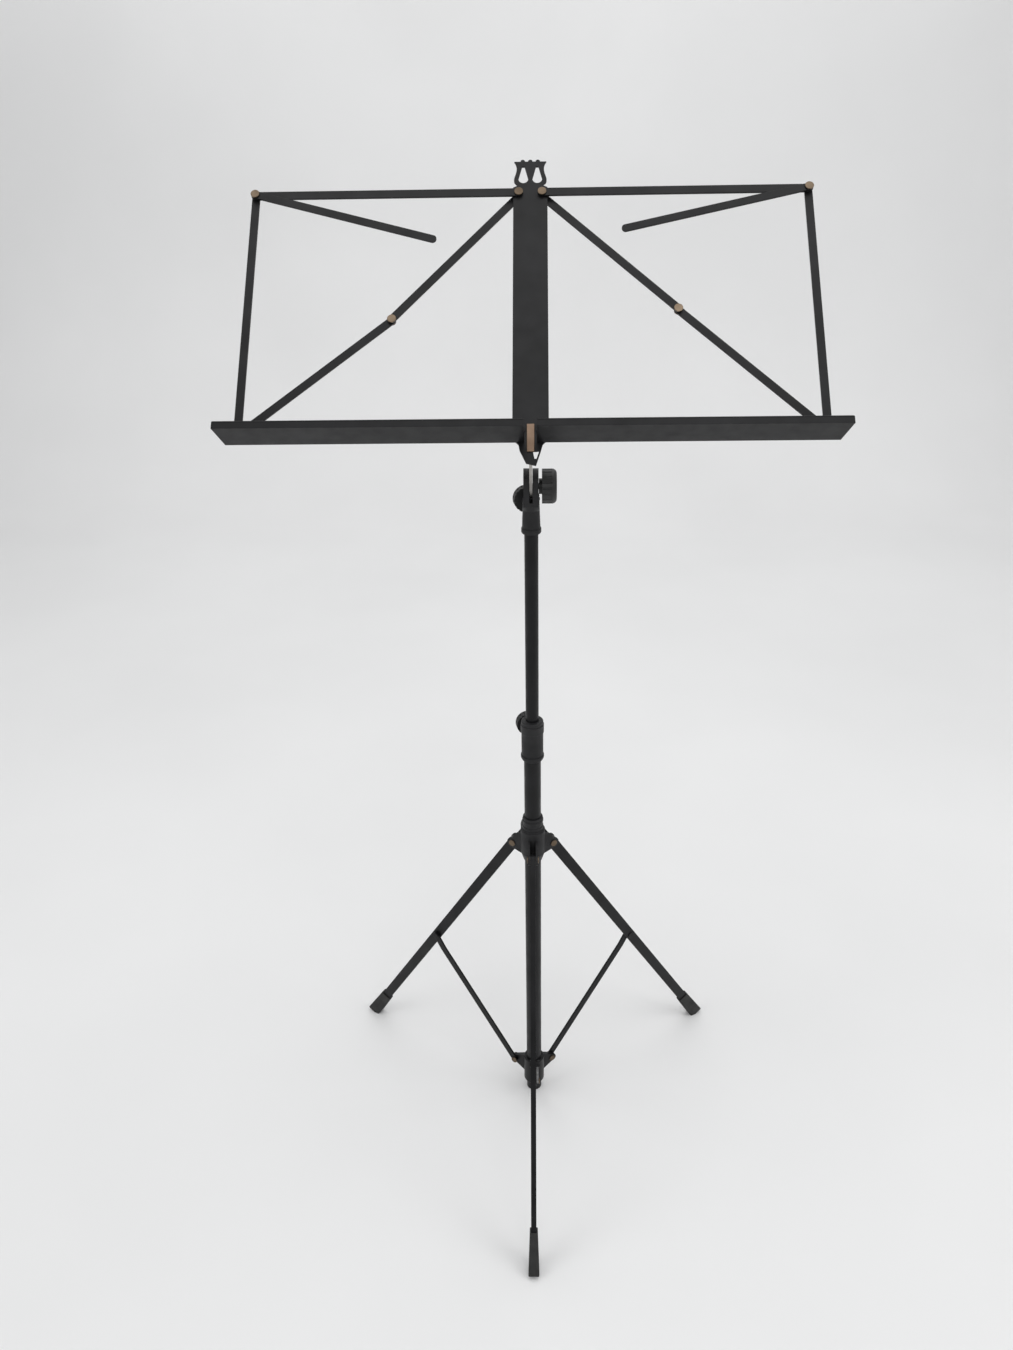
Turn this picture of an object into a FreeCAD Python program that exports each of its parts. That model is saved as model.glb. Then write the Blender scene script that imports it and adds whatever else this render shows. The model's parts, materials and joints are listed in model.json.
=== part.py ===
import FreeCAD, Part
import os
from math import atan2, cos, degrees, hypot, radians, sin

os.makedirs("parts", exist_ok=True)

# Folding music stand. Millimetres, +Z up, origin on the floor under the pole.
# The reader stands at -Y; the desk leans back towards +Y.

# Pole
LOWER_R = 8.0           # outer radius of the lower tube
LOWER_BOTTOM = 1.6      # the plug below it stands on the floor
LOWER_TOP = 474.0
UPPER_R = 6.0           # outer radius of the upper tube
UPPER_BOTTOM = 222.0
UPPER_TOP = 690.0
TUBE_WALL = 1.0         # wall of the upper tube
RUN = 0.05              # radial clearance of every running fit
COLLAR_R = 10.2         # clamp collar on top of the lower tube
COLLAR_BOTTOM = 438.0
COLLAR_TOP = 480.0

# Tripod
FOOT_R = 219.0          # radius of the circle through the feet
FOOT_Z = 10.0           # height of a leg's axis at its foot
LEG_PIVOT_R = 20.9
LEG_PIVOT_Z = 334.3
HUB_PIVOT_R = 22.4
HUB_PIVOT_Z = 31.0
STRUT_AT = 0.512        # where the strut meets the leg, as a part of the leg's length
LEG_DEPTH = 10.5
LEG_WIDTH = 5.0
LEG_WALL = 1.1
PIN_R = 2.0
AZIMUTHS = {"front": -90.0, "right": 30.0, "left": 150.0}

# Head and tilt pivot
HEAD_BOTTOM = 664.0
TILT_Z = 704.5
TONGUE_T = 2.4
SLOT_HALF = 1.4
SCREW_R = 2.5

# Desk. Local axes: x to the right, y backwards, z up the desk; z = 0 is the shelf.
LEAN = degrees(0.775)   # of the desk, back from upright
DESK_Y = -27.2
DESK_Z = 750.6
BAR_W = 6.6
BAR_T = 1.6
PIVOT_X = 9.8           # inner pivots, each side of the centre line
CORNER_X = 232.3        # outer pivots
LOW_Z = 10.5            # height of the lower pivots above the shelf
HIGH_Z = 231.1          # height of the upper pivots above the shelf
PLATE_HALF = 14.4
SHELF_DEPTH = 26.8
LIP = 4.5
LEDGE_HALF = 245.0      # half width at the lip
LEDGE_ROOT = 241.0      # half width at the back
LEDGE_IN = 5.0          # inner end of each half, clear of the bronze strip
ARM_L = 158.0
ARM_SLOPE = {1: 14.0, -1: 17.0}
LINK_SAG = {1: 0.3, -1: 3.9}   # degrees that each half of the diagonal is off straight

# Layers of the flat desk bars: the front face of each, in local y
PLATE_Y = 0.0
BAR_Y = -1.8
ARM_Y = -3.6
LINK_Y = 2.8
LOWER_LINK_Y = 4.6
HEAD_R = 3.7            # rivet head


def save(name, shape):
    """Writes one piece as one STEP file."""
    shape = shape.removeSplitter()
    if len(shape.Solids) != 1 or not shape.isValid():
        raise ValueError(name + " is not one valid solid")
    shape.Solids[0].exportStep("parts/" + name + ".step")


def vec(x, y, z):
    return FreeCAD.Vector(x, y, z)


def rod(start, direction, radius, length):
    return Part.makeCylinder(radius, length, vec(*start), vec(*direction))


def box(low, high):
    size = [b - a for a, b in zip(low, high)]
    return Part.makeBox(size[0], size[1], size[2], vec(*low))


def rounded(shape, radius, test):
    """Fillets the edges for which test(edge) holds."""
    edges = [e for e in shape.Edges if test(e)]
    return shape.makeFillet(radius, edges)


def slab(points, y0, y1):
    """A flat plate: an outline of (x, z) points, from y0 to y1."""
    ring = [vec(x, y0, z) for x, z in points]
    wire = Part.makePolygon(ring + [ring[0]])
    return Part.Face(wire).extrude(vec(0, y1 - y0, 0))


def disc(x, z, radius, y0, y1):
    return rod((x, y0, z), (0, 1, 0), radius, y1 - y0)


def bar(a, b, width, y0, y1):
    """A flat bar with rounded ends, between two points of the plane."""
    length = hypot(b[0] - a[0], b[1] - a[1])
    nx = -(b[1] - a[1]) / length * width / 2
    nz = (b[0] - a[0]) / length * width / 2
    corners = [(a[0] + nx, a[1] + nz), (b[0] + nx, b[1] + nz)]
    corners += [(b[0] - nx, b[1] - nz), (a[0] - nx, a[1] - nz)]
    body = slab(corners, y0, y1)
    ends = [disc(x, z, width / 2, y0, y1) for x, z in (a, b)]
    return body.fuse(ends)


def pierced(shape, holes, radius, y0, y1):
    """Cuts round holes at (x, z) through a flat piece."""
    for x, z in holes:
        shape = shape.cut(disc(x, z, radius, y0 - 1, y1 + 1))
    return shape


def on_desk(shape):
    """Moves a piece from the desk's own axes to its place on the stand."""
    shape.rotate(vec(0, 0, 0), vec(1, 0, 0), -LEAN)
    shape.translate(vec(0, DESK_Y, DESK_Z))
    return shape


# ---------------------------------------------------------------- knobs
KNOB_ANGLE = 103.0      # azimuth of the head and pole clamp knobs
BRACKET_KNOB_ANGLE = 93.0
KNOB_R = 11.2
KNOB_T = 9.0


def knob(radius, thickness, neck_r, neck_l, screw_l):
    """A ribbed knob on a screw, along +Z; z = 0 is where the neck starts."""
    head = Part.makeCylinder(radius, thickness, vec(0, 0, neck_l))
    top = neck_l + thickness
    crown = [e for e in head.Edges if e.Closed and abs(e.CenterOfMass.z - top) < 0.1]
    head = head.makeFillet(thickness * 0.32, crown)
    ribs = 18
    for i in range(ribs):
        angle = radians(360.0 * i / ribs)
        place = (radius + 0.3) * cos(angle), (radius + 0.3) * sin(angle), neck_l - 1
        head = head.cut(rod(place, (0, 0, 1), 0.9, thickness * 0.75))
    dish = Part.makeSphere(radius * 1.9, vec(0, 0, top + radius * 1.9 - 0.9))
    head = head.cut(dish)
    neck = Part.makeCylinder(neck_r, neck_l + 0.5, vec(0, 0, 0))
    screw = Part.makeCylinder(SCREW_R, screw_l + 0.5, vec(0, 0, -screw_l))
    return head.fuse([neck, screw])


def at_pole(shape, reach, z, azimuth=KNOB_ANGLE):
    """Turns a knob built along +Z to point back from the pole at height z."""
    shape.rotate(vec(0, 0, 0), vec(0, 1, 0), 90)
    shape.translate(vec(reach, 0, z))
    shape.rotate(vec(0, 0, 0), vec(0, 0, 1), azimuth)
    return shape


def boss(reach, z, azimuth=KNOB_ANGLE):
    """The collar's boss that a clamp knob screws into."""
    direction = (cos(radians(azimuth)), sin(radians(azimuth)), 0)
    return rod((0, 0, z), direction, 5.2, reach)


def screw_hole(start, reach, z, azimuth=KNOB_ANGLE):
    c, s = cos(radians(azimuth)), sin(radians(azimuth))
    return rod((start * c, start * s, z), (c, s, 0), SCREW_R + RUN, reach - start)


HEAD_KNOB_Z = 687.5
MID_KNOB_Z = 466.0
BRACKET_KNOB_Z = 346.0
BOSS_REACH = 13.6
NECK_GAP = 0.2

for name, z, tip, azimuth in (
    ("head_knob", HEAD_KNOB_Z, UPPER_R, KNOB_ANGLE),
    ("mid_knob", MID_KNOB_Z, UPPER_R, KNOB_ANGLE),
    ("bracket_knob", BRACKET_KNOB_Z, LOWER_R, BRACKET_KNOB_ANGLE),
):
    start = BOSS_REACH + NECK_GAP
    piece = knob(KNOB_R, KNOB_T, 4.6, 1.6, start - tip - 0.3)
    save(name, at_pole(piece, start, z, azimuth))

# ---------------------------------------------------------------- pole
bore_r = UPPER_R + RUN
lower = rod((0, 0, LOWER_BOTTOM), (0, 0, 1), LOWER_R, LOWER_TOP - LOWER_BOTTOM)
lower = lower.cut(rod((0, 0, 0), (0, 0, 1), bore_r, LOWER_TOP + 10))
lower = lower.cut(screw_hole(0, 20, MID_KNOB_Z))
save("lower_tube", lower)

upper = rod((0, 0, UPPER_BOTTOM), (0, 0, 1), UPPER_R, UPPER_TOP - UPPER_BOTTOM)
upper = upper.cut(rod((0, 0, UPPER_BOTTOM - 1), (0, 0, 1), UPPER_R - TUBE_WALL, 600))
save("upper_tube", upper)

plug = rod((0, 0, LOWER_BOTTOM - 1.6), (0, 0, 1), LOWER_R, 1.6)
plug = plug.fuse(rod((0, 0, LOWER_BOTTOM - 0.1), (0, 0, 1), bore_r, 8))
save("tube_plug", plug)

collar_h = COLLAR_TOP - COLLAR_BOTTOM
collar = rod((0, 0, COLLAR_BOTTOM), (0, 0, 1), COLLAR_R, collar_h)
collar = rounded(collar, 1.2, lambda e: e.Closed)
collar = collar.fuse(rod((0, 0, COLLAR_TOP - 12), (0, 0, 1), COLLAR_R + 0.6, 8))
collar = collar.fuse(boss(BOSS_REACH, MID_KNOB_Z))
seat = LOWER_TOP - COLLAR_BOTTOM + 1
collar = collar.cut(rod((0, 0, COLLAR_BOTTOM - 1), (0, 0, 1), LOWER_R, seat))
collar = collar.cut(rod((0, 0, COLLAR_BOTTOM), (0, 0, 1), bore_r, 60))
collar = collar.cut(screw_hole(0, 20, MID_KNOB_Z))
save("mid_collar", collar)

# ---------------------------------------------------------------- head
FORK_HALF_X = 6.25
FORK_HALF_Y = 11.0
FORK_CROWN = 14.6
SOCKET_TOP = UPPER_TOP + 0.4
SLOT_BOTTOM = TILT_Z - 11.2
socket = Part.makeCone(7.95, 7.0, 28, vec(0, 0, HEAD_BOTTOM))
fork = box((-FORK_HALF_X, -FORK_HALF_Y, 690), (FORK_HALF_X, FORK_HALF_Y, TILT_Z))
fork = fork.fuse(rod((-FORK_HALF_X, 0, TILT_Z), (1, 0, 0), FORK_CROWN, 2 * FORK_HALF_X))
fork = fork.common(box((-20, -FORK_HALF_Y, 690), (20, FORK_HALF_Y, 730)))
saddle = Part.makeCone(7.0, FORK_HALF_Y, 8, vec(0, 0, 684)).common(
    box((-7, -12, 684), (7, 12, 692))
)
head = socket.fuse([fork, saddle, boss(BOSS_REACH, HEAD_KNOB_Z)])
head = head.cut(rod((0, 0, HEAD_BOTTOM - 1), (0, 0, 1), bore_r, SOCKET_TOP - HEAD_BOTTOM + 1))
head = head.cut(box((-SLOT_HALF, -20, SLOT_BOTTOM), (SLOT_HALF, 20, 730)))
head = head.cut(rod((-4.6, 0, TILT_Z), (1, 0, 0), SCREW_R + RUN, 20))
head = head.cut(screw_hole(0, 20, HEAD_KNOB_Z))
save("head", head)

TILT_KNOB_R = 14.3
tilt = knob(TILT_KNOB_R, 12.2, 6.4, 2.6, FORK_HALF_X + 0.2 + 4.2)
tilt.rotate(vec(0, 0, 0), vec(0, 1, 0), 90)
tilt.translate(vec(FORK_HALF_X + 0.2, 0, TILT_Z))
save("tilt_knob", tilt)

# ---------------------------------------------------------------- tripod
EAR_IN = 2.8            # inner face of a bracket ear, from the leg's centre plane
EAR_OUT = 4.8
STRUT_IN = 2.9          # the strut runs beside the leg
STRUT_OUT = 5.0
STRUT_W = 6.6
leg_run = hypot(FOOT_R - LEG_PIVOT_R, LEG_PIVOT_Z - FOOT_Z)
leg_slope = degrees(atan2(LEG_PIVOT_Z - FOOT_Z, FOOT_R - LEG_PIVOT_R))
strut_leg = (
    LEG_PIVOT_R + STRUT_AT * (FOOT_R - LEG_PIVOT_R),
    LEG_PIVOT_Z + STRUT_AT * (FOOT_Z - LEG_PIVOT_Z),
)


def to_azimuth(shape, azimuth):
    """Turns a piece built in the plane x = radius, z = height to its leg's place."""
    shape = shape.copy()
    shape.rotate(vec(0, 0, 0), vec(0, 0, 1), azimuth)
    return shape


def along_leg(shape):
    """Moves a piece built along +X, from the leg's pivot, onto the leg's slope."""
    shape.rotate(vec(0, 0, 0), vec(0, 1, 0), leg_slope)
    shape.translate(vec(LEG_PIVOT_R, 0, LEG_PIVOT_Z))
    return shape


half_d = LEG_DEPTH / 2
half_w = LEG_WIDTH / 2
leg = box((0, -half_w, -half_d), (leg_run + 1, half_w, half_d))
leg = leg.fuse(rod((0, -half_w, 0), (0, 1, 0), half_d, LEG_WIDTH))
inside = half_w - LEG_WALL
leg = leg.cut(box((9, -inside, -half_d - 1), (leg_run - 9, inside, half_d - LEG_WALL)))
leg = leg.cut(rod((0, -10, 0), (0, 1, 0), PIN_R + RUN, 20))
rivet_run = leg_run * STRUT_AT
leg = leg.fuse(rod((rivet_run, -half_w - 1.0, 0), (0, 1, 0), HEAD_R - 0.3, 1.0))
leg = leg.fuse(rod((rivet_run, -half_w, 0), (0, 1, 0), PIN_R, LEG_WIDTH))
leg = along_leg(leg)

FOOT_UP = 29.0          # how far the rubber foot reaches up the leg
FOOT_DOWN = 10.5        # and past the leg's end


def foot_section(s, half_y, low, high):
    """A rectangle across the leg, at a distance s from its pivot."""
    ring = [vec(s, -half_y, low), vec(s, half_y, low), vec(s, half_y, high), vec(s, -half_y, high)]
    return Part.makePolygon(ring + [ring[0]])


foot_low = foot_section(leg_run + FOOT_DOWN, 5.2, -7.5, 7.5)
foot_high = foot_section(leg_run - FOOT_UP, 3.8, -6.6, 6.6)
foot = Part.makeLoft([foot_low, foot_high], True)
foot = rounded(foot, 1.4, lambda e: abs(e.Vertexes[0].X - e.Vertexes[-1].X) > 10)
foot = along_leg(foot)
foot = foot.cut(box((0, -30, -40), (400, 30, 0)))
foot = foot.cut(leg)
foot = max(foot.Solids, key=lambda s: s.Volume)

hub_end = (HUB_PIVOT_R, HUB_PIVOT_Z)
lean_x = strut_leg[0] - hub_end[0]
lean_z = strut_leg[1] - hub_end[1]
strut_l = hypot(lean_x, lean_z)
elbow_at = (strut_l - 18) / strut_l
ELBOW = 1.6             # how far the strut bows out near the leg
elbow = (
    hub_end[0] + elbow_at * lean_x + ELBOW * lean_z / strut_l,
    hub_end[1] + elbow_at * lean_z - ELBOW * lean_x / strut_l,
)
strut = bar(hub_end, elbow, STRUT_W, STRUT_IN, STRUT_OUT)
strut = strut.fuse(bar(elbow, strut_leg, STRUT_W, STRUT_IN, STRUT_OUT))
strut = pierced(strut, [hub_end], PIN_R + RUN, STRUT_IN, STRUT_OUT)
strut = strut.fuse(disc(strut_leg[0], strut_leg[1], HEAD_R - 0.4, STRUT_OUT - 0.1, STRUT_OUT + 1))

EAR_R = 5.8
ear_line = [(8, 325), (LEG_PIVOT_R, LEG_PIVOT_Z - EAR_R), (LEG_PIVOT_R, LEG_PIVOT_Z + EAR_R)]
ear_line += [(16, 348), (8, 350)]
ear = slab(ear_line, EAR_IN, EAR_OUT)
ear = ear.fuse(disc(LEG_PIVOT_R, LEG_PIVOT_Z, EAR_R, EAR_IN, EAR_OUT))
ears = ear.fuse(ear.mirror(vec(0, 0, 0), vec(0, 1, 0)))
ears = pierced(ears, [(LEG_PIVOT_R, LEG_PIVOT_Z)], PIN_R, -EAR_OUT, EAR_OUT)
leg_pin = disc(LEG_PIVOT_R, LEG_PIVOT_Z, PIN_R, -EAR_OUT, EAR_OUT)
for side in (-1, 1):
    low = min(side * EAR_OUT, side * (EAR_OUT + 1.0))
    leg_pin = leg_pin.fuse(disc(LEG_PIVOT_R, LEG_PIVOT_Z, HEAD_R - 0.4, low, low + 1.0))

bracket = rod((0, 0, 330), (0, 0, 1), 12.0, 27)
bracket = bracket.fuse(Part.makeCone(9.2, 12.0, 9, vec(0, 0, 321)))
bracket = bracket.fuse(rod((0, 0, 357), (0, 0, 1), 9.7, 15))
bracket = rounded(bracket, 1.0, lambda e: e.Closed and e.CenterOfMass.z > 356)
bracket = bracket.fuse(boss(BOSS_REACH, BRACKET_KNOB_Z, BRACKET_KNOB_ANGLE))
for azimuth in AZIMUTHS.values():
    slot = box((13.5, -EAR_IN, 315), (30, EAR_IN, 352))
    bracket = bracket.cut(to_azimuth(slot, azimuth))
for azimuth in AZIMUTHS.values():
    bracket = bracket.fuse(to_azimuth(ears, azimuth))
bracket = bracket.cut(rod((0, 0, 300), (0, 0, 1), LOWER_R + RUN, 100))
bracket = bracket.cut(screw_hole(0, 20, BRACKET_KNOB_Z, BRACKET_KNOB_ANGLE))
save("leg_bracket", bracket)

HUB_EAR_IN = -1.4
HUB_EAR_OUT = 2.6
hub = rod((0, 0, 13), (0, 0, 1), 11.0, 33)
hub = rounded(hub, 1.2, lambda e: e.Closed)
hub_ear = slab([(9, 18), (hub_end[0], 26), (hub_end[0], 36), (9, 44)], HUB_EAR_IN, HUB_EAR_OUT)
hub_ear = hub_ear.fuse(disc(hub_end[0], hub_end[1], 5.0, HUB_EAR_IN, HUB_EAR_OUT))
hub_ear = pierced(hub_ear, [hub_end], PIN_R, HUB_EAR_IN, HUB_EAR_OUT)
hub_pin = disc(hub_end[0], hub_end[1], PIN_R, HUB_EAR_IN, STRUT_OUT + 0.2)
hub_pin = hub_pin.fuse(disc(hub_end[0], hub_end[1], HEAD_R - 0.4, STRUT_OUT + 0.2, STRUT_OUT + 1.2))
hub_pin = hub_pin.fuse(disc(hub_end[0], hub_end[1], HEAD_R - 0.4, HUB_EAR_IN - 1.0, HUB_EAR_IN))
for azimuth in AZIMUTHS.values():
    hub = hub.fuse(to_azimuth(hub_ear, azimuth))
hub = hub.cut(rod((0, 0, 0), (0, 0, 1), LOWER_R, 100))
save("tripod_hub", hub)

for name, azimuth in AZIMUTHS.items():
    save("leg_" + name, to_azimuth(leg, azimuth))
    save("foot_" + name, to_azimuth(foot, azimuth))
    save("strut_" + name, to_azimuth(strut, azimuth))
    save("leg_pin_" + name, to_azimuth(leg_pin, azimuth))
    save("hub_pin_" + name, to_azimuth(hub_pin, azimuth))

# ---------------------------------------------------------------- desk, centre
SHOULDER = 237.0        # top of the plate, where the lyre finial begins
FINIAL_TOP = 263.0
TAIL_END = -19.0
plate_line = [
    (-PLATE_HALF, 2), (-9.5, -3), (-8.6, -8), (-3.6, TAIL_END), (4.2, TAIL_END - 2),
    (8.2, -8), (9.5, -3), (PLATE_HALF, 2), (PLATE_HALF, SHOULDER), (9.5, SHOULDER + 2.4),
    (-9.5, SHOULDER + 2.4), (-PLATE_HALF, SHOULDER),
]
plate = slab(plate_line, PLATE_Y, PLATE_Y + BAR_T)


def lyre():
    """The finial: two horns that sweep up from a round bowl to a crossbar."""
    half = [
        vec(9.4, 0, SHOULDER + 2), vec(13.8, 0, SHOULDER + 7), vec(12.2, 0, SHOULDER + 14),
        vec(11.6, 0, SHOULDER + 20), vec(13.6, 0, FINIAL_TOP),
    ]
    right = Part.BSplineCurve()
    right.interpolate(half)
    left = Part.BSplineCurve()
    left.interpolate([vec(-p.x, 0, p.z) for p in reversed(half)])
    ring = [right.toShape(), Part.makeLine(half[-1], vec(-half[-1].x, 0, FINIAL_TOP))]
    ring += [left.toShape(), Part.makeLine(vec(-half[0].x, 0, half[0].z), half[0])]
    body = Part.Face(Part.Wire(ring)).extrude(vec(0, BAR_T, 0))
    for side in (-1, 1):
        x = side * 5.9
        drop = disc(x, SHOULDER + 8.4, 4.1, -1, 3)
        wide, narrow = SHOULDER + 9.6, SHOULDER + 21
        tip = slab([(x - 3.9, wide), (x + 3.9, wide), (x + 1.1, narrow), (x - 1.1, narrow)], -1, 3)
        body = body.cut(drop.fuse(tip))
    for x in (-6.4, 0, 6.4):
        body = body.fuse(disc(x, FINIAL_TOP, 1.9, 0, BAR_T))
    return body


plate = plate.fuse(lyre())
TAIL_GAP = [(1.8, -9), (6.8, -8.6), (4.6, -15.4), (3.0, -15.4)]
plate = plate.cut(slab(TAIL_GAP, -1, 3))
plate_holes = [(s * PIVOT_X, z) for s in (-1, 1) for z in (LOW_Z, HIGH_Z)]
plate = pierced(plate, plate_holes, PIN_R, 0, BAR_T)
save("desk_plate", on_desk(plate))

strap = box((-3.0, -0.9, -9.5), (3.0, PLATE_Y, 14.5))
strap = rounded(strap, 0.35, lambda e: e.BoundBox.ZLength > 10 and e.CenterOfMass.y < -0.5)
save("plate_strap", on_desk(strap))

# The tongue stands on the plate's back, edge-on, and ends in the tilt pivot.
lean = radians(LEAN)
pivot_y = -DESK_Y * cos(lean) - (TILT_Z - DESK_Z) * sin(lean)
pivot_z = -DESK_Y * sin(lean) + (TILT_Z - DESK_Z) * cos(lean)
TONGUE_R = 10.0
web = [(BAR_T, 46), (pivot_y, pivot_z + TONGUE_R), (pivot_y, pivot_z - TONGUE_R), (BAR_T, TAIL_END + 1)]
ring = [vec(-TONGUE_T / 2, y, z) for y, z in web]
tongue = Part.Face(Part.makePolygon(ring + [ring[0]])).extrude(vec(TONGUE_T, 0, 0))
tongue = tongue.fuse(rod((-TONGUE_T / 2, pivot_y, pivot_z), (1, 0, 0), TONGUE_R, TONGUE_T))
tongue = tongue.cut(rod((-5, pivot_y, pivot_z), (1, 0, 0), SCREW_R + RUN, 10))
save("tilt_tongue", on_desk(tongue))

# ---------------------------------------------------------------- desk, sides
for side, word in ((1, "right"), (-1, "left")):
    a = (side * PIVOT_X, HIGH_Z)
    b = (side * CORNER_X, HIGH_Z)
    c = (side * CORNER_X, LOW_Z)
    d = (side * PIVOT_X, LOW_Z)

    top_bar = bar(a, b, BAR_W + 0.8, BAR_Y, BAR_Y + BAR_T)
    top_bar = pierced(top_bar, [a], PIN_R + RUN, BAR_Y, 0)
    top_bar = pierced(top_bar, [b], PIN_R, BAR_Y, 0)
    save("top_bar_" + word, on_desk(top_bar))

    upright = bar(b, c, BAR_W, PLATE_Y, PLATE_Y + BAR_T)
    upright = pierced(upright, [b, c], PIN_R + RUN, PLATE_Y, BAR_T)
    save("upright_" + word, on_desk(upright))

    slope = radians(ARM_SLOPE[side])
    tip = (b[0] - side * ARM_L * cos(slope), b[1] - ARM_L * sin(slope))
    arm = bar(b, tip, BAR_W, ARM_Y, ARM_Y + BAR_T)
    arm = pierced(arm, [b], PIN_R + RUN, ARM_Y, ARM_Y + BAR_T)
    save("page_arm_" + word, on_desk(arm))

    # Diagonal: two links that fold at the middle rivet, which hangs a little in.
    span = hypot(c[0] - a[0], c[1] - a[1])
    sag = radians(LINK_SAG[side])
    mid = (
        (a[0] + c[0]) / 2 - side * span / 2 * sin(sag) / cos(sag) * (a[1] - c[1]) / span,
        (a[1] + c[1]) / 2 - span / 2 * sin(sag) / cos(sag) * abs(c[0] - a[0]) / span,
    )
    upper_link = bar(a, mid, BAR_W, LINK_Y, LINK_Y + BAR_T)
    upper_link = pierced(upper_link, [a], PIN_R + RUN, LINK_Y, LINK_Y + BAR_T)
    upper_link = pierced(upper_link, [mid], PIN_R, LINK_Y, LINK_Y + BAR_T)
    save("upper_link_" + word, on_desk(upper_link))

    lower_link = bar(mid, c, BAR_W, LOWER_LINK_Y, LOWER_LINK_Y + BAR_T)
    lower_link = pierced(lower_link, [mid], PIN_R + RUN, LOWER_LINK_Y, LOWER_LINK_Y + BAR_T)
    link_back = LOWER_LINK_Y + BAR_T
    lower_link = lower_link.fuse(disc(c[0], c[1], HEAD_R - 0.5, link_back - 0.1, link_back + 1))
    save("lower_link_" + word, on_desk(lower_link))

    # Ledge half: a back flange with the two pivots, the shelf, and a small lip.
    flange = bar((d[0], d[1]), (side * (LEDGE_ROOT - 5.5), d[1]), 11.0, BAR_Y, BAR_Y + BAR_T)
    near, far = side * LEDGE_IN, side * LEDGE_ROOT
    below = [(near, -1.5), (far, -1.5), (far, LOW_Z), (near, LOW_Z)]
    flange = flange.fuse(slab(below, BAR_Y, BAR_Y + BAR_T))
    front = BAR_Y + BAR_T - SHELF_DEPTH
    back = BAR_Y + BAR_T
    plan = [(LEDGE_IN, back), (LEDGE_ROOT, back), (LEDGE_HALF, front), (LEDGE_IN, front)]
    ring = [vec(side * x, y, -1.5) for x, y in plan]
    shelf = Part.Face(Part.makePolygon(ring + [ring[0]])).extrude(vec(0, 0, 1.5))
    end = side * LEDGE_HALF
    lip = slab([(near, -1.5), (end, -1.5), (end, LIP), (near, LIP)], front, front + 1.5)
    ledge = flange.fuse([shelf, lip])
    ledge = pierced(ledge, [d], PIN_R + RUN, BAR_Y, 0)
    ledge = pierced(ledge, [c], PIN_R, BAR_Y, 0)
    save("ledge_" + word, on_desk(ledge))

    # Rivets: shank, front head and back head.
    def rivet(name, at, head_y, shank, back_y, collar_to=0.0):
        piece = disc(at[0], at[1], PIN_R, shank[0], shank[1])
        dome = disc(at[0], at[1], HEAD_R, head_y, shank[0])
        dome = rounded(dome, 0.35, lambda e: e.Closed and e.CenterOfMass.y < head_y + 0.1)
        piece = piece.fuse(dome)
        piece = piece.fuse(disc(at[0], at[1], HEAD_R - 0.4, shank[1], back_y))
        if collar_to:
            piece = piece.fuse(disc(at[0], at[1], 3.2, BAR_T, collar_to))
        save(name + "_" + word, on_desk(piece))

    link_top = LINK_Y + BAR_T + 0.2
    rivet("rivet_top", a, BAR_Y - 1.3, (BAR_Y - 0.2, link_top), link_top + 1.0, LINK_Y - 0.2)
    rivet("rivet_corner", b, ARM_Y - 1.3, (ARM_Y - 0.2, BAR_T + 0.2), BAR_T + 1.1)
    rivet("rivet_low", c, BAR_Y - 0.9, (BAR_Y, BAR_T + 0.2), BAR_T + 1.1)
    rivet("rivet_ledge", d, BAR_Y - 1.1, (BAR_Y - 0.2, BAR_T), BAR_T + 1.0)
    rivet("rivet_mid", mid, LINK_Y - 0.9, (LINK_Y, link_back + 0.2), link_back + 1.1)
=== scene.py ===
import json
from math import cos, pi, sin

import bmesh
import bpy
from mathutils import Matrix, Vector


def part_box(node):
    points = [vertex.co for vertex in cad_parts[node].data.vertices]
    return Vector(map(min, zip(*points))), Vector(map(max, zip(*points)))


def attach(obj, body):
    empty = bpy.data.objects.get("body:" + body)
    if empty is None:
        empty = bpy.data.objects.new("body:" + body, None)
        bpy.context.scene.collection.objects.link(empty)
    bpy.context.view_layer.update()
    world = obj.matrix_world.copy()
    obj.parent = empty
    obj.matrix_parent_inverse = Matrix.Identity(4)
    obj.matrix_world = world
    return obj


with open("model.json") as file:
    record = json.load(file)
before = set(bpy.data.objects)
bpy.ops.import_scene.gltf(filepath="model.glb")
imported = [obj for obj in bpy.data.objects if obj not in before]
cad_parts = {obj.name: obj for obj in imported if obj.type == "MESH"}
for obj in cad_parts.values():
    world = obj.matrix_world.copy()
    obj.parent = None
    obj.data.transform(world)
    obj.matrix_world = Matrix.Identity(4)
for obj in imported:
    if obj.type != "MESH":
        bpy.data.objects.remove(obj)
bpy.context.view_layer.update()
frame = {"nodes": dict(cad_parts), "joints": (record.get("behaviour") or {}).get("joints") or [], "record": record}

nodes = frame["nodes"]
joints = {j["name"]: j for j in frame["joints"]}
SLOT_OF = {s["node"]: s["material_slot"] for s in frame["record"]["subparts"]}
MM = 0.001
Z_AXIS = Vector((0, 0, 1))


# ---------------------------------------------------------------- materials
EDGE_R = 0.35 * MM              # rounding that the coating leaves on sharp edges
BEVEL_SAMPLES = 6
CLOUD_SCALE = 38                # mottled colour, in features per metre
GLOSS_SCALE = 90                # patches of uneven gloss
WEAR_SCALE = 260                # where the rubbed edges break up
CLOUD_STOPS = (0.32, 0.7)       # noise values where the colours start and end
WEAR_STOPS = (0.46, 0.64)       # noise values where wear begins and is full
EDGE_STOPS = (0.86, 0.97)       # cosine between flat and rounded normal: edge, face
NOISE_LOW, NOISE_HIGH = 0.3, 0.7
MIX_FIRST, MIX_SECOND, MIX_RESULT = 6, 7, 2     # colour sockets of the Mix node
BLACK, WHITE = (0, 0, 0), (1, 1, 1)


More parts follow.
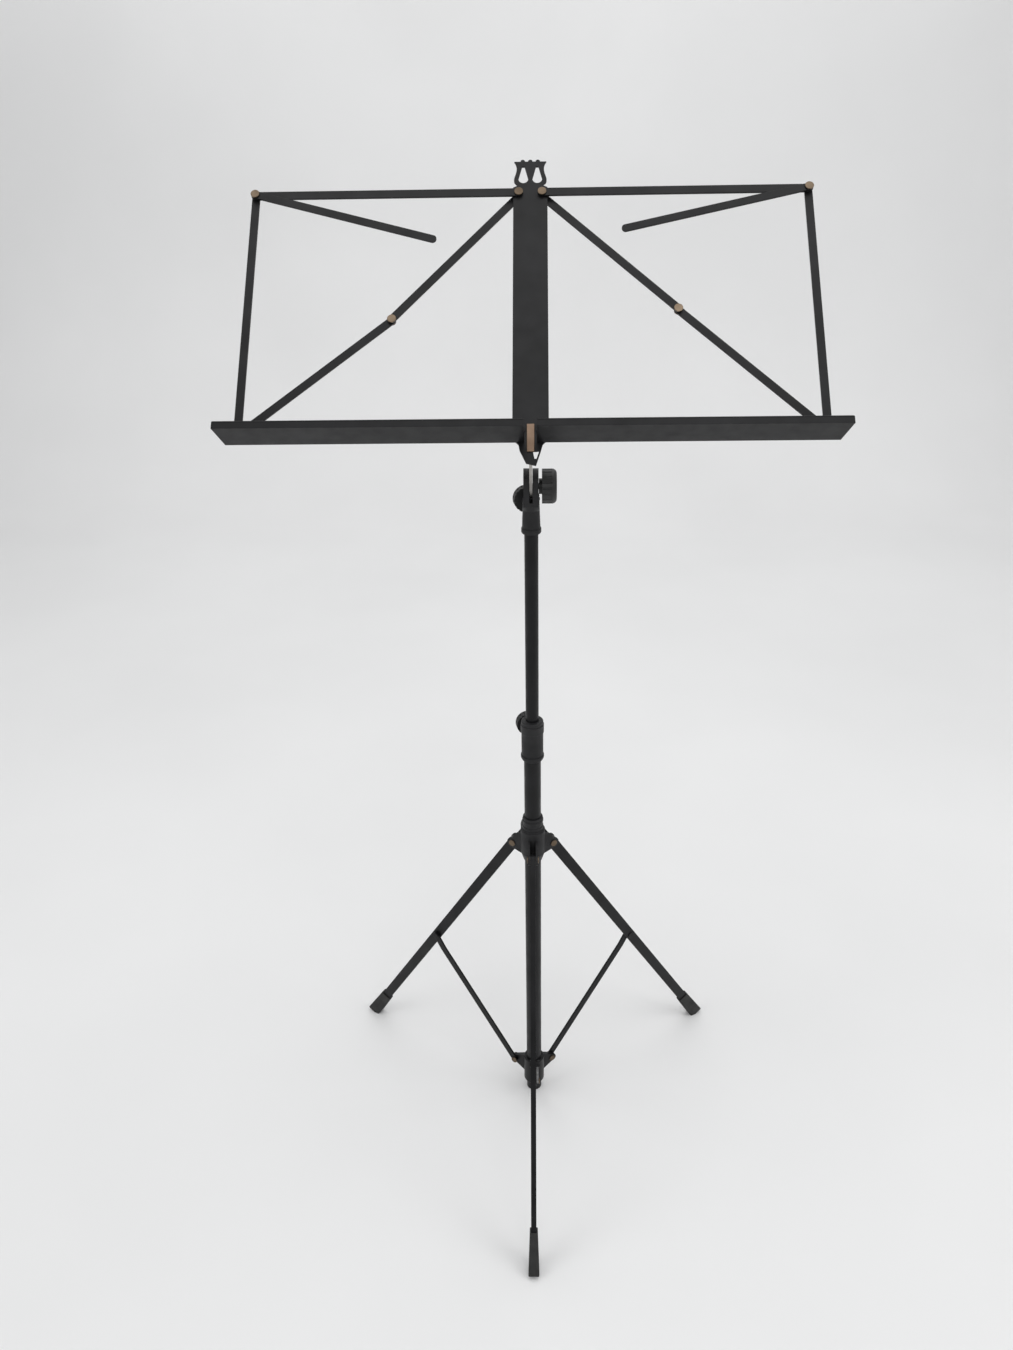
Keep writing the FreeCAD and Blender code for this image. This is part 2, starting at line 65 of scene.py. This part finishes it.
def new_material(name):
    """A material with its node tree and its Principled shader."""
    mat = bpy.data.materials.new(name)
    mat.use_nodes = True
    tree = mat.node_tree
    return mat, tree, tree.nodes["Principled BSDF"]


def noise(tree, scale, detail=3.0, stretch=(1, 1, 1)):
    """Noise in the object's own coordinates, which are metres here."""
    coords = tree.nodes.new("ShaderNodeTexCoord")
    mapping = tree.nodes.new("ShaderNodeMapping")
    mapping.inputs["Scale"].default_value = stretch
    texture = tree.nodes.new("ShaderNodeTexNoise")
    texture.inputs["Scale"].default_value = scale
    texture.inputs["Detail"].default_value = detail
    tree.links.new(coords.outputs["Object"], mapping.inputs["Vector"])
    tree.links.new(mapping.outputs["Vector"], texture.inputs["Vector"])
    return texture.outputs["Fac"]


def ramp(tree, source, stops):
    """A colour ramp; stops is two (position, colour) pairs."""
    node = tree.nodes.new("ShaderNodeValToRGB")
    for element, (place, colour) in zip(node.color_ramp.elements, stops):
        element.position = place
        element.color = (*colour, 1)
    tree.links.new(source, node.inputs["Fac"])
    return node.outputs["Color"]


def spread(tree, source, low, high):
    """Maps the middle of a noise's range onto low to high."""
    node = tree.nodes.new("ShaderNodeMapRange")
    node.inputs["From Min"].default_value = NOISE_LOW
    node.inputs["From Max"].default_value = NOISE_HIGH
    node.inputs["To Min"].default_value = low
    node.inputs["To Max"].default_value = high
    tree.links.new(source, node.inputs["Value"])
    return node.outputs["Result"]


def mix(tree, factor, first, second):
    """Mixes a colour socket with a plain colour, by a factor socket."""
    node = tree.nodes.new("ShaderNodeMix")
    node.data_type = "RGBA"
    tree.links.new(factor, node.inputs["Factor"])
    tree.links.new(first, node.inputs[MIX_FIRST])
    node.inputs[MIX_SECOND].default_value = (*second, 1)
    return node.outputs[MIX_RESULT]


def bump(tree, bsdf, sources, strength, last):
    """Stacks bump layers on the normal last: sources is (socket, distance in metres)."""
    for source, distance in sources:
        node = tree.nodes.new("ShaderNodeBump")
        node.inputs["Strength"].default_value = strength
        node.inputs["Distance"].default_value = distance
        tree.links.new(source, node.inputs["Height"])
        tree.links.new(last, node.inputs["Normal"])
        last = node.outputs["Normal"]
    tree.links.new(last, bsdf.inputs["Normal"])


def soft_normal(tree):
    """The surface normal, rounded off over the sharp edges."""
    node = tree.nodes.new("ShaderNodeBevel")
    node.samples = BEVEL_SAMPLES
    node.inputs["Radius"].default_value = EDGE_R
    return node.outputs["Normal"]


def edge_wear(tree, rounded):
    """A mask that is bright on rubbed edges, broken up by noise."""
    geometry = tree.nodes.new("ShaderNodeNewGeometry")
    along = tree.nodes.new("ShaderNodeVectorMath")
    along.operation = "DOT_PRODUCT"
    tree.links.new(geometry.outputs["Normal"], along.inputs[0])
    tree.links.new(rounded, along.inputs[1])
    edge = ramp(tree, along.outputs["Value"], zip(EDGE_STOPS, (WHITE, BLACK)))
    patch = ramp(tree, noise(tree, WEAR_SCALE, 4), zip(WEAR_STOPS, (BLACK, WHITE)))
    node = tree.nodes.new("ShaderNodeMath")
    node.operation = "MULTIPLY"
    tree.links.new(edge, node.inputs[0])
    tree.links.new(patch, node.inputs[1])
    return node.outputs[0]


def coated(name, dark, light, rough, grain, worn, metallic=0.0, specular=0.5,
           stretch=(1, 1, 1)):
    """A finish with mottled colour, uneven gloss, grain and rubbed edges.

    grain is (noise scale per metre, bump distance in metres, bump strength), and
    worn is the colour of the rubbed edges.
    """
    scale, depth, strength = grain
    mat, tree, bsdf = new_material(name)
    cloud = noise(tree, CLOUD_SCALE, 4)
    fine = noise(tree, scale, 3, stretch)
    rounded = soft_normal(tree)
    colour = ramp(tree, cloud, zip(CLOUD_STOPS, (dark, light)))
    colour = mix(tree, edge_wear(tree, rounded), colour, worn)
    tree.links.new(colour, bsdf.inputs["Base Color"])
    gloss = spread(tree, noise(tree, GLOSS_SCALE, 4, stretch), *rough)
    tree.links.new(gloss, bsdf.inputs["Roughness"])
    bsdf.inputs["Metallic"].default_value = metallic
    bsdf.inputs["Specular IOR Level"].default_value = specular
    bump(tree, bsdf, [(fine, depth), (cloud, depth * 2)], strength, rounded)
    mat.diffuse_color = (*light, 1)
    return mat


MATERIALS = {
    "black_steel": coated(
        "black_steel", (0.0045, 0.0045, 0.005), (0.010, 0.010, 0.011), (0.30, 0.46),
        (2600, 0.00003, 0.35), (0.045, 0.043, 0.04), specular=0.22,
    ),
    "collar_plastic": coated(
        "collar_plastic", (0.009, 0.009, 0.010), (0.021, 0.021, 0.022), (0.42, 0.6),
        (1900, 0.00005, 0.5), (0.05, 0.05, 0.05), specular=0.3,
    ),
    "knob_plastic": coated(
        "knob_plastic", (0.008, 0.008, 0.008), (0.018, 0.018, 0.018), (0.38, 0.55),
        (2200, 0.00005, 0.5), (0.055, 0.055, 0.055),
    ),
    "foot_rubber": coated(
        "foot_rubber", (0.012, 0.012, 0.012), (0.03, 0.03, 0.029), (0.62, 0.85),
        (1500, 0.00008, 0.7), (0.09, 0.088, 0.084),
    ),
    "rivet_metal": coated(
        "rivet_metal", (0.085, 0.062, 0.042), (0.23, 0.175, 0.125), (0.28, 0.48),
        (900, 0.00003, 0.4), (0.42, 0.37, 0.31), metallic=1.0,
    ),
    "bare_brass": coated(
        "bare_brass", (0.12, 0.075, 0.05), (0.27, 0.19, 0.135), (0.3, 0.5),
        (700, 0.00004, 0.5), (0.62, 0.5, 0.34), metallic=0.85, stretch=(1, 1, 0.06),
    ),
    "bare_steel": coated(
        "bare_steel", (0.36, 0.34, 0.32), (0.62, 0.60, 0.57), (0.25, 0.42),
        (900, 0.00003, 0.4), (0.75, 0.73, 0.7), metallic=1.0, stretch=(1, 0.08, 0.08),
    ),
}

for name, obj in nodes.items():
    obj.data.materials.clear()
    obj.data.materials.append(MATERIALS[SLOT_OF[name]])


# ---------------------------------------------------------------- small pieces
def smooth_object(name, bm, material):
    """Turns a bmesh into a smooth object in the scene, and frees the bmesh."""
    mesh = bpy.data.meshes.new(name)
    bm.to_mesh(mesh)
    bm.free()
    for face in mesh.polygons:
        face.use_smooth = True
    obj = bpy.data.objects.new(name, mesh)
    bpy.context.scene.collection.objects.link(obj)
    obj.data.materials.append(material)
    return obj


def mesh_piece(name, body, slot, build):
    """Makes a bmesh piece that rides on a body and takes a record slot's finish."""
    bm = bmesh.new()
    build(bm)
    bmesh.ops.recalc_face_normals(bm, faces=bm.faces)
    obj = smooth_object(name, bm, MATERIALS[slot])
    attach(obj, body)


def lathe(bm, profile, origin=Vector(), turn=Matrix(), steps=64):
    """Turns a closed (radius, height) profile about the local Z axis."""
    rings = []
    for i in range(steps):
        angle = 2 * pi * i / steps
        points = [Vector((r * cos(angle), r * sin(angle), z)) for r, z in profile]
        rings.append([bm.verts.new(origin + turn @ point) for point in points])
    count = len(profile)
    for i in range(steps):
        here, after = rings[i], rings[(i + 1) % steps]
        for k in range(count):
            n = (k + 1) % count
            bm.faces.new((here[k], here[n], after[n], after[k]))


def band(inner, outer, low, high, soft=0.3 * MM):
    """The profile of a band between two heights, with its outer corners softened."""
    return [
        (inner, low), (outer - soft, low), (outer - soft * 0.3, low + soft * 0.3),
        (outer, low + soft), (outer, high - soft), (outer - soft * 0.3, high - soft * 0.3),
        (outer - soft, high), (inner, high),
    ]


def collar_ring(name, body, node, low, high, radius, wall):
    """A moulded ring round the pole's axis, at heights above the base of a node."""
    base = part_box(node)[0][2]
    profile = band(radius - wall, radius + wall, base + low, base + high)
    mesh_piece(name, body, "collar_plastic", lambda bm: lathe(bm, profile))


def farthest(node, axis):
    """How far a node's mesh reaches along an axis, measured from the origin."""
    return max(v.co.dot(axis) for v in nodes[node].data.vertices)


def capsule(bm, start, end, radius):
    """A rod with round ends."""
    length = (end - start).length
    made = bmesh.ops.create_uvsphere(bm, u_segments=16, v_segments=11, radius=radius)["verts"]
    turn = Z_AXIS.rotation_difference(end - start).to_matrix()
    for vert in made:
        if vert.co.z > 0:
            vert.co.z += length
        vert.co = start + turn @ vert.co


def dome(bm, at, axis, radius, height):
    """A low domed screw head with a flat foot and a round hole in its crown."""
    turn = Z_AXIS.rotation_difference(axis).to_matrix()
    profile = [
        (0.18 * radius, 0), (radius, 0), (radius, 0.35 * height), (0.93 * radius, 0.62 * height),
        (0.74 * radius, 0.86 * height), (0.5 * radius, height), (0.34 * radius, 0.97 * height),
        (0.28 * radius, 0.5 * height), (0.18 * radius, 0.45 * height),
    ]
    lathe(bm, profile, at, turn, 40)


# Moulded rings: one low on the mid collar, one at the head's foot, two on the
# bracket's neck.
RING_WALL = 0.6 * MM
NECK_RING_R = 9.7 * MM
NECK_RING_WALL = 0.5 * MM
collar_ring("collar_ring_low", "pole", "mid_collar", 2.2 * MM, 5.2 * MM, 10.3 * MM, RING_WALL)
collar_ring("head_ring", "head", "head", 0.6 * MM, 4.4 * MM, 7.9 * MM, RING_WALL)
collar_ring("bracket_ring_high", "bracket", "leg_bracket", 45.5 * MM, 48.0 * MM,
            NECK_RING_R, NECK_RING_WALL)
collar_ring("bracket_ring_low", "bracket", "leg_bracket", 38.5 * MM, 41.0 * MM,
            NECK_RING_R, NECK_RING_WALL)

# A screw head in the dished face of every knob, sunk a little into the dish.
DISH = 0.9 * MM                 # depth of the dish
SCREW_SUNK = 0.25 * MM
SCREW_HEAD_R = 2.7 * MM
SCREW_HEAD_H = 1.1 * MM
for knob in ("tilt_knob", "head_knob", "mid_knob", "bracket_knob"):
    joint = joints[knob + "_turn"]
    axis = Vector(joint["axis"]).normalized()
    on_axis = Vector(joint["pos_m"])
    face = on_axis + axis * (farthest(knob, axis) - on_axis.dot(axis) - DISH - SCREW_SUNK)
    mesh_piece(knob + "_screw", knob, "rivet_metal",
               lambda bm, at=face, along=axis: dome(bm, at, along, SCREW_HEAD_R, SCREW_HEAD_H))

# The lip of each ledge half is rolled over into a thin round hem. The desk folds
# about axes square to its face, so a fold's axis is the way the desk faces.
HEM_R = 0.95 * MM
LIP_T = 1.5 * MM
LIP_SKIN = 0.2 * MM             # depth of the slice taken as the lip's front face
desk_front = Vector(joints["desk_fold_right"]["axis"]).normalized()
desk_up = desk_front.cross(Vector((1, 0, 0)))
for word in ("left", "right"):
    ledge = "ledge_" + word
    reach = farthest(ledge, desk_front)
    lip = [v.co for v in nodes[ledge].data.vertices if v.co.dot(desk_front) > reach - LIP_SKIN]
    top = max(v.dot(desk_up) for v in lip)
    low_x, high_x = min(v.x for v in lip), max(v.x for v in lip)
    middle = desk_front * (reach - LIP_T / 2) + desk_up * (top - 0.35 * HEM_R)
    start = Vector((low_x + HEM_R, middle.y, middle.z))
    end = Vector((high_x - HEM_R, middle.y, middle.z))
    mesh_piece("ledge_hem_" + word, ledge, "black_steel",
               lambda bm, a=start, b=end: capsule(bm, a, b, HEM_R))

# ---------------------------------------------------------------- backdrop
FLOOR_DARK, FLOOR_LIGHT = (0.80, 0.80, 0.80), (0.85, 0.85, 0.85)
FLOOR_MOTTLE = 1.6              # features per metre
FLOOR_FRONT, FLOOR_BACK, FLOOR_HALF = -3.0, 1.7, 4
SWEEP_R, SWEEP_STEPS, WALL_TOP = 0.7, 12, 4.0

paper, tree, bsdf = new_material("floor_paper")
floor_stops = ((NOISE_LOW, FLOOR_DARK), (NOISE_HIGH, FLOOR_LIGHT))
shade = ramp(tree, noise(tree, FLOOR_MOTTLE, 3), floor_stops)
tree.links.new(shade, bsdf.inputs["Base Color"])
bsdf.inputs["Roughness"].default_value = 0.75
bsdf.inputs["Specular IOR Level"].default_value = 0.25

# A flat floor that curves up into a wall behind the stand.
profile = [(FLOOR_FRONT, 0.0)]
for i in range(SWEEP_STEPS + 1):
    angle = pi / 2 * i / SWEEP_STEPS
    profile.append((FLOOR_BACK + SWEEP_R * sin(angle), SWEEP_R * (1 - cos(angle))))
profile.append((FLOOR_BACK + SWEEP_R, WALL_TOP))
bm = bmesh.new()
rows = [[bm.verts.new((x, y, z)) for x in (-FLOOR_HALF, FLOOR_HALF)] for y, z in profile]
for a, b in zip(rows, rows[1:]):
    bm.faces.new((a[0], a[1], b[1], b[0]))
smooth_object("backdrop", bm, paper)


# ---------------------------------------------------------------- light
def softbox(name, place, aim, size, power):
    """A rectangular area light; size is (width, height) in metres, power in watts."""
    light = bpy.data.lights.new(name, "AREA")
    light.shape = "RECTANGLE"
    light.size, light.size_y = size
    light.energy = power
    obj = bpy.data.objects.new(name, light)
    obj.location = place
    obj.rotation_euler = (Vector(aim) - Vector(place)).to_track_quat("-Z", "Y").to_euler()
    bpy.context.scene.collection.objects.link(obj)


softbox("light_top", (0.1, 0.1, 2.6), (0, 0, 0), (2.6, 2.2), 24)
softbox("light_left", (-1.9, -0.9, 1.5), (0, 0, 0.5), (1.4, 1.8), 11)
softbox("light_right", (1.9, -0.7, 1.7), (0, 0, 0.5), (1.4, 1.8), 13)
softbox("light_front", (0.2, -2.3, 1.9), (0, 0, 0.6), (1.8, 1.2), 9)
softbox("light_back", (0.0, 1.5, 2.4), (0, 2.2, 0.9), (3.0, 1.0), 10)

world = bpy.data.worlds.new("studio")
world.use_nodes = True
sky = world.node_tree.nodes["Background"]
sky.inputs["Color"].default_value = (0.93, 0.94, 0.95, 1)
sky.inputs["Strength"].default_value = 0.42
bpy.context.scene.world = world
bpy.context.scene.view_settings.view_transform = "Standard"

# ---------------------------------------------------------------- camera
SENSOR_WIDTH = 36               # millimetres
FOCAL_WIDTHS = 1.078            # focal length as a part of the picture's width
CLIP_START = 0.02
CAMERA_AT = Vector((0.0047, -0.8672, 0.9978))
CAMERA_YAW = -0.032
CAMERA_PITCH = -0.497
CAMERA_ROLL = -0.018

ahead = Vector((
    sin(CAMERA_YAW) * cos(CAMERA_PITCH),
    cos(CAMERA_YAW) * cos(CAMERA_PITCH),
    sin(CAMERA_PITCH),
))
right = Vector((cos(CAMERA_YAW), -sin(CAMERA_YAW), 0))
up = right.cross(ahead)
right, up = (
    right * cos(CAMERA_ROLL) + up * sin(CAMERA_ROLL),
    up * cos(CAMERA_ROLL) - right * sin(CAMERA_ROLL),
)
lens = bpy.data.cameras.new("camera")
lens.sensor_fit = "HORIZONTAL"
lens.sensor_width = SENSOR_WIDTH
lens.lens = SENSOR_WIDTH * FOCAL_WIDTHS
lens.clip_start = CLIP_START
camera = bpy.data.objects.new("camera", lens)
turn = Matrix((right, up, -ahead)).transposed().to_4x4()
camera.matrix_world = Matrix.Translation(CAMERA_AT) @ turn
bpy.context.scene.collection.objects.link(camera)
bpy.context.scene.camera = camera
